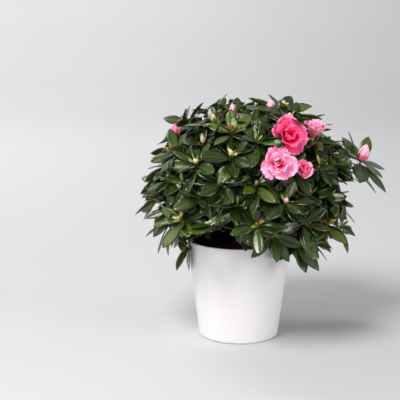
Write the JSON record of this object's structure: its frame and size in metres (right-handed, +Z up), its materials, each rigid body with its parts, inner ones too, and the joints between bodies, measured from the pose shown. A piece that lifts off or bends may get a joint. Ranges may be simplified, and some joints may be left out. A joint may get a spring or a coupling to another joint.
{
  "type": "potted azalea shrub",
  "caption": "Compact evergreen flowering shrub with a rounded leafy head and a few double pink flowers, growing in a plain white conical pot.",
  "frame": {"origin": "centre of the pot's flat underside, where it rests on the table", "axes": "+Z up; the side shown in the picture faces -Y; the picture's right is +X"},
  "size_m": [0.3383, 0.2943, 0.3378],
  "materials": {
    "pot": "gloss",
    "peat": "matte",
    "bark": "matte",
    "foliage": "satin"
  },
  "bodies": {
    "root": {"bough_lower_1": "bark", "bough_lower_2": "bark", "bough_lower_3": "bark", "bough_lower_4": "bark", "bough_lower_5": "bark", "bough_top": "bark", "bough_upper_1": "bark", "bough_upper_2": "bark", "bough_upper_3": "bark", "bough_upper_4": "bark", "foliage_lower_1": "foliage", "foliage_lower_2": "foliage", "foliage_lower_3": "foliage", "foliage_lower_4": "foliage", "foliage_lower_5": "foliage", "foliage_top": "foliage", "foliage_upper_1": "foliage", "foliage_upper_2": "foliage", "foliage_upper_3": "foliage", "foliage_upper_4": "foliage", "peat": "peat", "pot": "pot", "trunk": "bark"}
  },
  "joints": []
}
